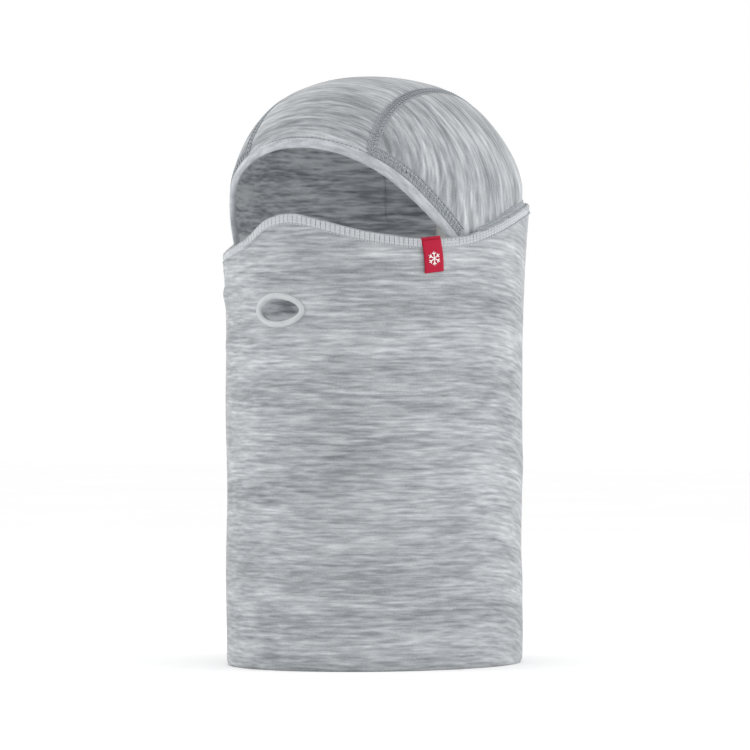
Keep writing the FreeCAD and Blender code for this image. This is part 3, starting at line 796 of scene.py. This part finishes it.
# One cross-section of the tube's wall with its two hems, as (offset, z) rows from the inside of
# the upper roll over the outside and the foot back to the upper hem. height: the upper edge.
def tubeSection(height):
    roll = fabric + 0.05
    rows = [(-roll + roll * math.cos(turn), height - roll + roll * math.sin(turn))
            for turn in np.linspace(math.pi, 0, 7)]
    rows += [(0, (height - roll) * (1 - f) + tube["footRound"] * f)
             for f in np.linspace(0, 1, tube["rows"] + 1)[1:]]
    rows += [(-tube["footIn"] * (1 - math.cos(turn)), tube["footRound"] * (1 - math.sin(turn)))
             for turn in np.linspace(0, math.pi / 2, 6)[1:]]
    rows += [(-3.3, 0.5), (-3.3, 4.0), (-3.2, 10.0), (-3.2, 15.2), (-2.6, 16.0), (-1.6, 16.3)]
    rows += [(-fabric, (height - tube["hem"] - 0.4) * (1 - f) + 17.5 * f)
             for f in np.linspace(1, 0, tube["rows"])]
    rows += [(out, height - down) for out, down in [(-2.6, 9.5), (-3.15, 8.8), (-3.15, 6.0), (-3.1, 3.4)]]
    return [(out + 0 * height, z + 0 * height) for out, z in rows]


# Quads between two closed loops of the same length.
def bridge(a, b):
    return list(zip(a, a[1:] + a[:1], b[1:] + b[:1], b))


def tubeFabricMesh():
    columns = tube["columns"]
    angles = np.linspace(-math.pi, math.pi, columns, endpoint=False)
    rows = tubeSection(edgeHeight(angles))
    outs = np.array([out for out, z in rows])
    zs = np.array([z for out, z in rows])
    grid = np.broadcast_to(angles, zs.shape)
    points = list(tubePoint(grid, zs, outs).reshape(-1, 3))
    uvs = list(yarnWay(grid, zs).reshape(-1, 2))
    total = len(rows)
    # Two windows are opened in the grid, outside and inside, and each is closed down to the oval.
    columnAt = int(round((hole["angle"] + math.pi) / (2 * math.pi) * columns))
    firstColumn, lastColumn = columnAt - hole["windowColumns"], columnAt + hole["windowColumns"]
    skip, loops, newFaces = set(), [], []
    for low, high, out in [(7, 7 + tube["rows"], 0.0), (total - 4 - tube["rows"], total - 4, -fabric)]:
        rowAt = low + int(np.argmin(np.abs(zs[low:high, columnAt] - hole["z"])))
        firstRow, lastRow = rowAt - hole["windowRows"], rowAt + hole["windowRows"]
        skip |= {(i, j) for i in range(firstRow, lastRow) for j in range(firstColumn, lastColumn)}
        border = [(firstRow, j) for j in range(firstColumn, lastColumn)]
        border += [(i, lastColumn) for i in range(firstRow, lastRow)]
        border += [(lastRow, j) for j in range(lastColumn, firstColumn, -1)]
        border += [(i, firstColumn) for i in range(lastRow, firstRow, -1)]
        if zs[firstRow, columnAt] < zs[lastRow, columnAt]:  # both windows are walked the same way round
            border = [(lastRow - (i - firstRow), j) for i, j in border]
        loop = [i * columns + j for i, j in border]
        places = np.array([(angles[j], zs[i, j]) for i, j in border])
        aside, climb = (places[:, 0] - hole["angle"]) * tube["halfWidth"], places[:, 1] - hole["z"]
        turns = np.arctan2(climb / hole["windowHalf"][1], aside / hole["windowHalf"][0])
        ovalAngle, ovalZ = holeCurve(turns)
        for ring in range(1, hole["rings"] + 1):
            f = ring / hole["rings"]
            ringAngle = places[:, 0] * (1 - f) + ovalAngle * f
            ringZ = places[:, 1] * (1 - f) + ovalZ * f
            first = len(points)
            points += list(tubePoint(ringAngle, ringZ, out))
            uvs += list(yarnWay(ringAngle, ringZ))
            inner = [first + k for k in range(len(loop))]
            newFaces += bridge(loop, inner)
            loop = inner
        loops.append(loop)
    grid = gridFaces(total, columns, closedRows=True, closedColumns=True)
    faces = [face for index, face in enumerate(grid) if divmod(index, columns) not in skip]
    return points, faces + newFaces + bridge(*loops), uvs


tubeNodes = ["neck_tube", "face_mask_panel", "mask_hem", "collar_hem", "bottom_hem"]
tubeFabric = addPiece("tubeFabric", tubeFabricMesh(), tubeKnit, tubeNodes, "mask")
lineInside(tubeFabric)
print("tube made")

# the breathing hole: bonded film round it outside and a facing inside

rimProfile = [(-0.5, -1.7), (-0.6, 0.1), (-0.15, 0.95), (0.9, 1.3), (2.1, 1.2), (3.0, 0.7), (3.6, 0.02),
              (3.2, -0.25), (0.6, -0.25), (0.3, -1.7)]
backingProfile = [(-0.45, -1.55), (-0.4, -2.3), (4.6, -2.3), (4.9, -1.55)]
holeTurns = np.linspace(0, 2 * math.pi, 361)
holeLine = tubePoint(*holeCurve(holeTurns))
holeLengths = lengthsAlong(holeLine)


def holePlace(s, across, height):
    angle, z = holeCurve(np.interp(s, holeLengths, holeTurns), across)
    return tubePoint(angle, z, height)


holeRings = [addPiece(name, strip(holePlace, holeLengths[-1], profile, 160, closed=True), rimFilm, [node],
                      "mask")
             for name, profile, node in [("breathingHoleRim", rimProfile, "breathing_hole_rim"),
                                         ("breathingHoleBacking", backingProfile, "breathing_hole_backing")]]

# rows of stitching round the tube's upper edge

collar = {"start": math.radians(77), "row": -5.3, "pitch": 3.0, "threadSize": 0.42, "rise": 2.7}
maskStitch = {
    "from": math.radians(-80), "to": math.radians(116), "pitch": 3.1, "top": -0.7, "foot": -6.2,
    "ribSize": 0.46, "ribGap": 1.1, "edgePitch": 2.2, "sink": 0.42,
}


# Angles and running lengths along the tube's upper edge between two angles.
def edgeRun(first, last):
    angles = np.linspace(first, last, 900)
    return angles, lengthsAlong(tubePoint(angles, edgeHeight(angles)))


collarAngles, collarLengths = edgeRun(collar["start"], 2 * math.pi - collar["start"])
maskAngles, maskLengths = edgeRun(maskStitch["from"], maskStitch["to"])


def collarPlace(s, across, height):
    angle = np.interp(s, collarLengths, collarAngles)
    return tubePoint(angle, edgeHeight(angle) + collar["row"] + across, height)


def maskPlace(s, across, height):
    angle = np.interp(s, maskLengths, maskAngles)
    return tubePoint(angle, edgeHeight(angle) + across, height)


# On the hood, just above the tube's edge.
def hoodPlace(s, across, height):
    angle = np.interp(s, collarLengths, collarAngles)
    z = edgeHeight(angle) + across
    y = hood["shift"] - hood["halfDepth"] * np.cos(angle)
    p = stacked(hood["halfWidth"] * np.sin(angle), y, z)
    rise = collar["rise"] * smoothStep((2.4 - across) / 3) * (0.45 + 0.55 * np.abs(np.sin(angle)))
    return p + hoodNormal(p) * (height + rise)


lowerRow = needleRow(collarPlace, collarLengths[-1], collar["pitch"], 0.0, collar["threadSize"])
hoodSeamLower = addPiece("hoodSeamLower", lowerRow, greyThread, ["hood_seam_lower_stitching"],
                         "mask", clean=False)
seamBed = [(-1.4, -0.6), (-1.2, 0.1), (0.4, 0.25), (2.0, 0.3), (3.0, 0.1), (3.1, -0.3), (1.0, -0.5)]
upperRow = joinParts([
    strip(hoodPlace, collarLengths[-1], seamBed, 260),
    needleRow(hoodPlace, collarLengths[-1], collar["pitch"], 2.2, collar["threadSize"], lift=0.2),
])
hoodSeamUpper = addPiece("hoodSeamUpper", upperRow, greyThread, ["hood_seam_upper_stitching"],
                         clean=False)


# The thread sinks into the cloth on the wearer's right of the nose and towards its left end, mm.
def threadSink(s):
    nose = np.interp(0.0, maskAngles, maskLengths)
    return maskStitch["sink"] * (smoothStep((nose - s) / 40) + smoothStep((s - maskLengths[-1] + 55) / 55))


ribs = []
for k in range(int(maskLengths[-1] / maskStitch["pitch"])):
    for side in (-0.7, 0, 0.7):
        s = (k + 0.5) * maskStitch["pitch"] + side * maskStitch["ribGap"]
        drop = maskStitch["foot"] - maskStitch["top"]
        ribs.append(stitch(maskPlace, s, 0.25 * side, maskStitch["top"], drop, -0.12 - threadSink(s), 0.3,
                           (0.0, 0.15, 0.4, 0.6, 0.85, 1.0)))
maskParts = joinParts([
    tubes(ribs, maskStitch["ribSize"]),
    needleRow(maskPlace, maskLengths[-1], maskStitch["edgePitch"], maskStitch["foot"] - 0.2, 0.24),
])
maskHemStitching = addPiece("maskHemStitching", maskParts, paleThread, ["mask_hem_stitching"],
                            "mask", clean=False)


# Behind, the tube is closed by one upright flatlock seam.
def backPlace(s, across, height):
    return tubePoint(math.pi - across / tube["halfWidth"], 1.0 + s, height)


backSeam = {"length": 279.0, "width": 6.0, "pitch": 2.6, "threadSize": 0.3}
backSeamStitching = addPiece("backSeamStitching", flatlock(backPlace, **backSeam), greyThread,
                             ["back_seam_stitching"], clean=False)

# a bar tack at each corner of the face opening: close zigzag over a short bed
tack = {"width": 7.0, "height": 2.3, "pitch": 0.62, "threadSize": 0.27, "below": 3.2, "radius": 96.0}
for name, node, sign in [("leftCornerBartack", "left_corner_bartack", 1),
                         ("rightCornerBartack", "right_corner_bartack", -1)]:
    tackLow, tackHigh = boxOf(node)
    middle = (tackLow + tackHigh) / 2
    tackAngle = math.atan2(middle[0] / tube["halfWidth"], -middle[1] / tube["halfDepth"])

    def tackPlace(s, across, height):
        angle = tackAngle + (s - tack["width"] / 2) / tack["radius"]
        return tubePoint(angle, edgeHeight(angle) - tack["below"] + across, height)

    paths = [stitch(tackPlace, (k + back) * tack["pitch"], 0.5 * tack["pitch"], -way * tack["height"] / 2,
                    way * tack["height"], 0.15, 0.45)
             for k in range(int(tack["width"] / tack["pitch"])) for way, back in ((1, 0.0), (-1, 0.5))]
    addPiece(name, tubes(paths, tack["threadSize"]), paleThread, [node],
                             clean=False)
print("stitching made")

# labels

careFold = {"layer": 0.25, "lean": 1.6, "curl": 0.7, "columns": 15, "rows": 19}


# A folded satin label that hangs from the seam; its free end leans in and curls.
def careLabelMesh():
    low, high = boxOf("care_label")
    xs = np.linspace(low[0], high[0], careFold["columns"])
    zs = np.linspace(high[2], low[2], careFold["rows"])
    x, z = np.meshgrid(xs, zs)
    f = (high[2] - z) / (high[2] - low[2])
    y = high[1] - 0.2 - careFold["lean"] * f ** 2 - careFold["curl"] * f * (x / high[0]) ** 2
    front = np.stack([x, y, z], axis=-1)
    return shell(front, front - np.array([0, 2 * careFold["layer"], 0]), np.stack([x, z], axis=-1))


careLabel = addPiece("careLabel", careLabelMesh(), labelSatin, ["care_label"])

flap = next(j for j in frame["record"]["behaviour"]["joints"] if j["name"] == "tab_flap")
tab = {
    "hinge": np.array(flap["pos_m"]) / mm, "face": math.radians(-27), "width": 13.5, "thickness": 0.55,
    "shift": 3.0, "lean": 2.2, "bow": 0.7, "rise": 1.6, "foot": boxOf("tab_label")[0][2] + 1.5,
}
faceOut = np.array([math.cos(tab["face"]), math.sin(tab["face"]), 0])
faceAside = np.array([-faceOut[1], faceOut[0], 0])  # towards the nape
up = np.array([0, 0, 1])


# A point of the tab: aside across the ribbon, drop below the hinge, out from the ribbon's face.
# The ribbon leans forward at its top, and its free end bows outwards a little.
def tabPoint(aside, drop, out):
    f = np.clip(drop / (tab["hinge"][2] - tab["foot"]), 0, 1)
    shift = aside - tab["shift"] - tab["lean"] * (1 - f) ** 1.3
    bow = tab["bow"] * np.sin(math.pi * f) - 0.25 * (aside / tab["width"] * 2) ** 2
    z = tab["hinge"][2] - drop + tab["rise"] * aside / tab["width"]
    return (tab["hinge"] * (1, 1, 0) + faceOut * np.asarray(bow + out)[..., None]
            + faceAside * shift[..., None] + up * z[..., None])


asides, drops = np.meshgrid(np.linspace(-0.5, 0.5, 11) * tab["width"],
                            np.linspace(0, tab["hinge"][2] - tab["foot"], 23))
leaf = shell(tabPoint(asides, drops, tab["thickness"] / 2), tabPoint(asides, drops, -tab["thickness"] / 2),
             np.stack([asides, drops], axis=-1))
tabLabel = addPiece("tabLabel", leaf, redRibbon, ["tab_label"], "tab")

# the ribbon's fold over the edge and its end inside
foldPath = [(0.0, 0.1), (0.15, 0.9), (-0.5, 1.55), (-2.2, 1.8), (-4.2, 1.6), (-5.0, 0.6), (-5.3, -3.0),
            (-5.3, -11.0)]
asides = np.linspace(-0.5, 0.5, 11) * tab["width"]
outside = np.array([tabPoint(asides, 0 * asides, out + 0 * asides) + up * climb for out, climb in foldPath])
centre = tab["hinge"] - faceOut * 2.6 + up * (-1.0)
inward = centre - outside
inward -= np.einsum("ijk,k->ij", inward, faceAside)[..., None] * faceAside
inward[5:] = faceOut
inward /= np.linalg.norm(inward, axis=-1)[..., None]
grid = np.stack(np.meshgrid(asides, np.arange(len(foldPath)) * 2.0), axis=-1)
tabAnchor = addPiece("tabAnchor", shell(outside, outside + inward * tab["thickness"], grid), redRibbon,
                     ["tab_anchor"])

# a plain six-armed snowflake, embroidered
motif = {"arm": 4.5, "branchAt": 2.5, "branch": 1.7, "threadSize": 0.34, "drop": 11.5}
paths = []
for k in range(6):
    way = math.radians(60 * k + 30)
    spokes = [((0.0, 0.0), (motif["arm"] * math.cos(way), motif["arm"] * math.sin(way)))]
    base = (motif["branchAt"] * math.cos(way), motif["branchAt"] * math.sin(way))
    for turn in (-0.9, 0.9):
        spokes.append((base, (base[0] + motif["branch"] * math.cos(way + turn),
                              base[1] + motif["branch"] * math.sin(way + turn))))
    for (x0, y0), (x1, y1) in spokes:
        f = np.linspace(0, 1, 5)
        paths.append(tabPoint(x0 + (x1 - x0) * f, motif["drop"] - (y0 + (y1 - y0) * f),
                              np.full(5, tab["thickness"] / 2 + 0.12)))
tabMotif = addPiece("tabMotif", tubes(paths, motif["threadSize"]), whiteYarn, ["tab_motif"],
                    "tab", clean=False)
print("labels made")


# camera, floor and light

floorMesh = bpy.data.meshes.new("floor")
floorMesh.from_pydata([(-6, -6, 0), (6, -6, 0), (6, 6, 0), (-6, 6, 0)], [], [(0, 1, 2, 3)])
floorMesh.materials.append(seamlessPaper("seamlessPaperMatt", "#ffffff", "#fdfdfd"))
floor = addToScene("floor", floorMesh)


# A place round the object, in metres.
def roundScene(azimuth, distance, height):
    return (distance * math.sin(azimuth), -distance * math.cos(azimuth), height)


def aimAt(thing, target):
    thing.rotation_euler = (Vector(target) - thing.location).to_track_quat("-Z", "Y").to_euler()


lens = {"azimuth": math.radians(31), "distance": 3.3, "height": 0.1812, "focal": 251.7}
camera = addToScene("camera", bpy.data.cameras.new("camera"))
camera.data.sensor_width = 36
camera.data.lens = lens["focal"]
camera.location = roundScene(lens["azimuth"], lens["distance"], lens["height"])
camera.rotation_euler = (math.pi / 2, 0, lens["azimuth"])
bpy.context.scene.camera = camera

studio = {
    "sky": 1.0,
    # angle from the camera's azimuth, distance, height, size across and up, power in watts
    "boxes": [(-84, 1.3, 0.4, 0.8, 1.2, 6.5), (84, 1.3, 0.4, 0.8, 1.2, 7.5), (6, 1.6, 0.6, 0.5, 0.5, 2.0)],
}
# A narrow spot through the face opening, and a small lamp inside the tube, out of sight.
snoot = bpy.data.lights.new("snoot", "SPOT")
snoot.energy, snoot.spot_size, snoot.spot_blend, snoot.shadow_soft_size = 10.0, math.radians(5.2), 1.0, 0.06
snootStand = addToScene("snoot", snoot)
snootStand.location = roundScene(math.radians(38), 1.6, 0.26)
aimAt(snootStand, (-0.02, -0.05, 0.292))
innerLamp = bpy.data.lights.new("innerLamp", "POINT")
innerLamp.energy, innerLamp.shadow_soft_size = 0.21, 0.02
addToScene("innerLamp", innerLamp).location = (0.01, -0.02, 0.15)
world = bpy.data.worlds.new("whiteSurround")
world.use_nodes = True
world.node_tree.nodes["Background"].inputs["Color"].default_value = (1, 1, 1, 1)
world.node_tree.nodes["Background"].inputs["Strength"].default_value = studio["sky"]
bpy.context.scene.world = world
bpy.context.scene.view_settings.view_transform = "Standard"
for number, (turn, distance, height, across, tall, watts) in enumerate(studio["boxes"]):
    light = bpy.data.lights.new(f"softbox{number}", "AREA")
    light.shape = "RECTANGLE"
    light.size, light.size_y, light.energy = across, tall, watts
    box = addToScene(f"softbox{number}", light)
    box.location = roundScene(lens["azimuth"] + math.radians(turn), distance, height)
    aimAt(box, (0, 0, 0.19))
